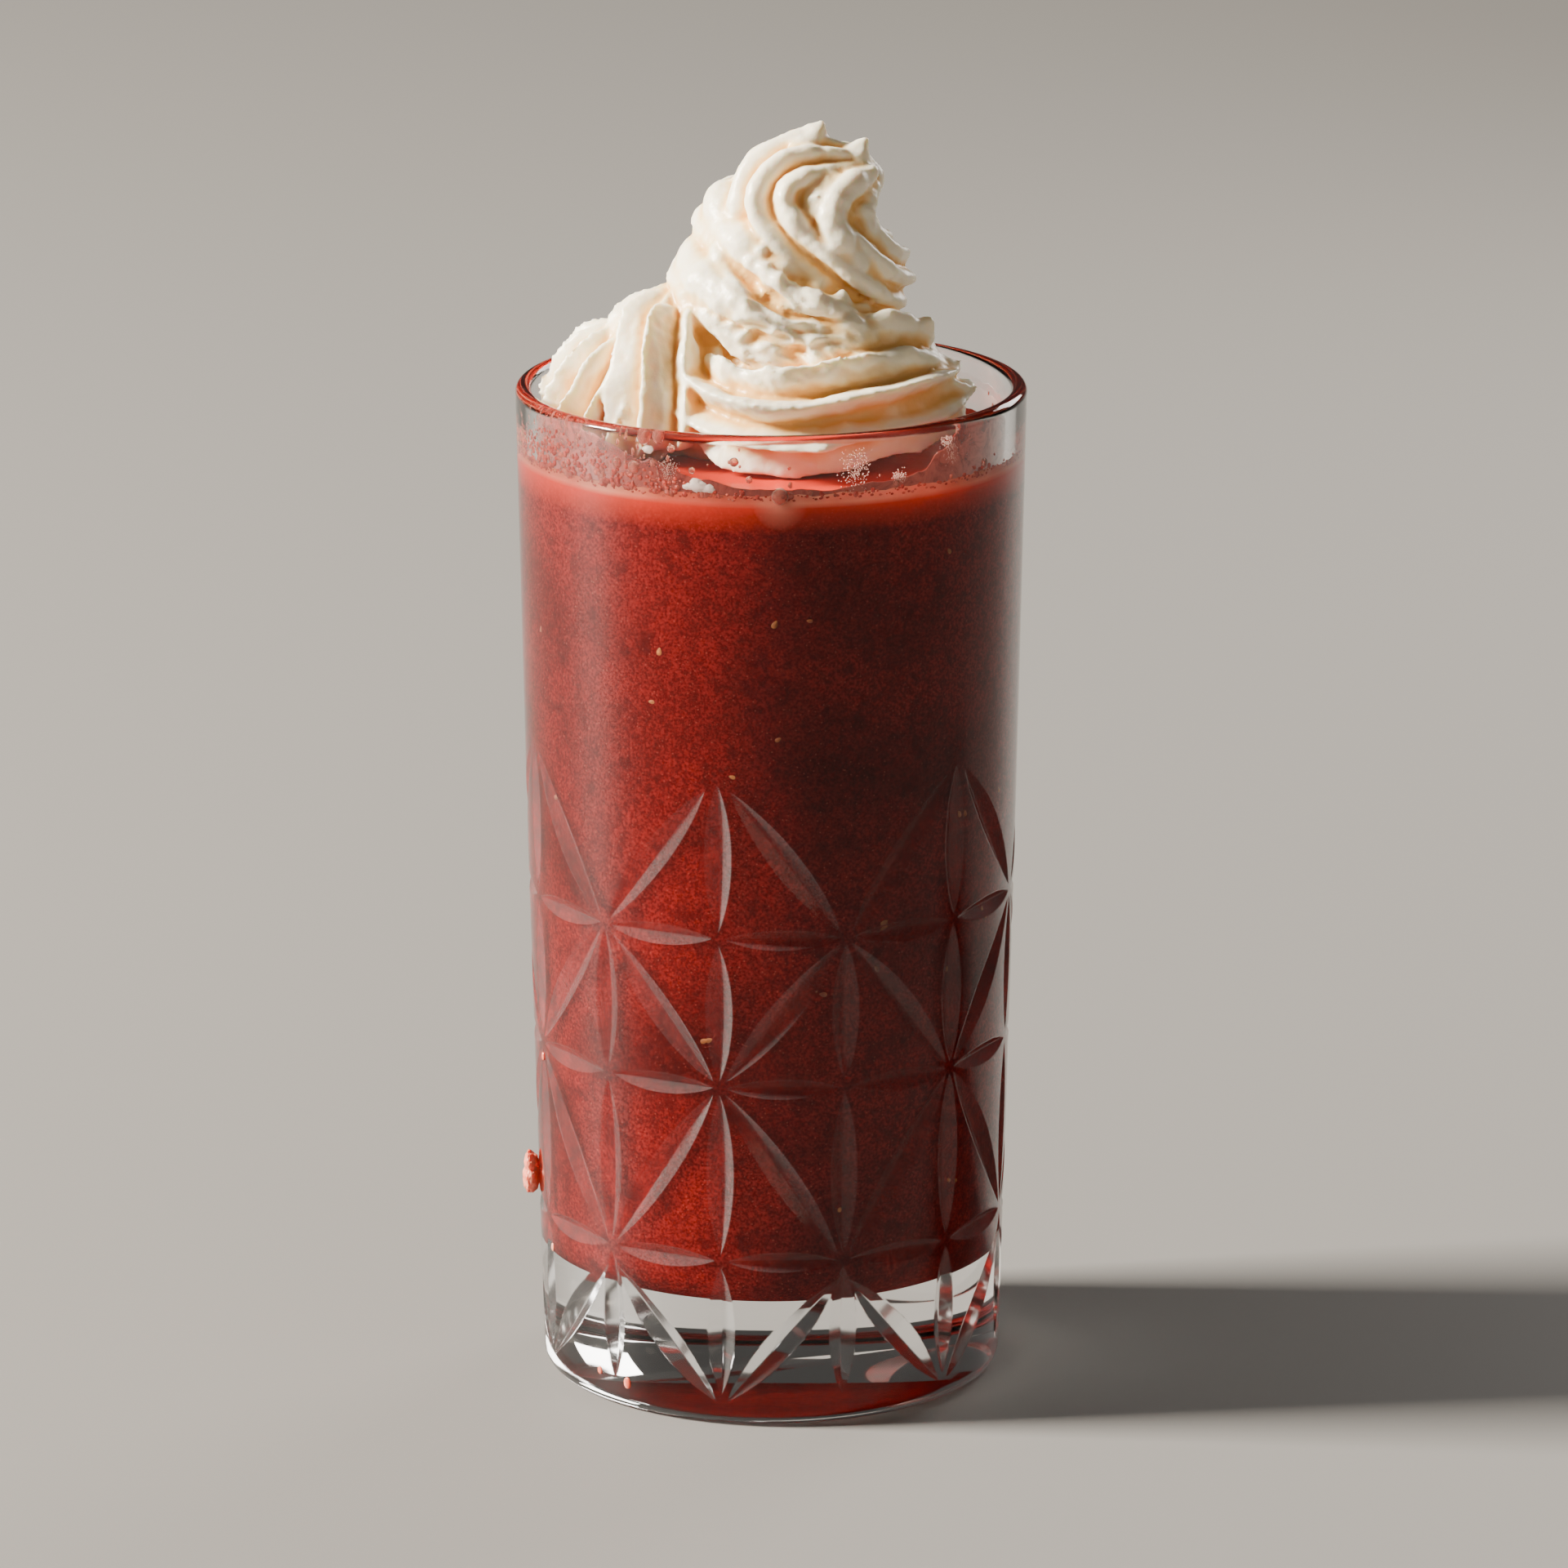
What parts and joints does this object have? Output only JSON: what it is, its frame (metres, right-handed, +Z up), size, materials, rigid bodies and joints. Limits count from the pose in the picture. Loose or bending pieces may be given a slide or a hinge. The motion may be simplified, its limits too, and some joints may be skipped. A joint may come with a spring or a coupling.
{
  "type": "strawberry smoothie",
  "caption": "Frothy strawberry smoothie in a tall straight glass with a star-cut wall and a thick clear base, topped with a swirl of piped whipped cream",
  "frame": {"origin": "centre of the flat foot of the glass, on the surface that it stands on", "axes": "+Z is up along the axis of the glass, the seen front faces -Y and +X is to its right"},
  "size_m": [0.076, 0.076, 0.1916],
  "materials": {
    "glass": "clear pressed glass, polished, cut with pointed concave grooves that meet in stars",
    "smoothie": "wet, frothy blended strawberries, mottled with pulp, seeds and fine bubbles",
    "cream": "soft whipped cream, ivory white, piped through a star nozzle",
    "fruit_pulp": "wet strawberry pulp"
  },
  "bodies": {
    "root": {"glass": "glass", "smoothie": "smoothie", "cream": "cream", "fruit_scrap": "fruit_pulp"}
  },
  "joints": []
}
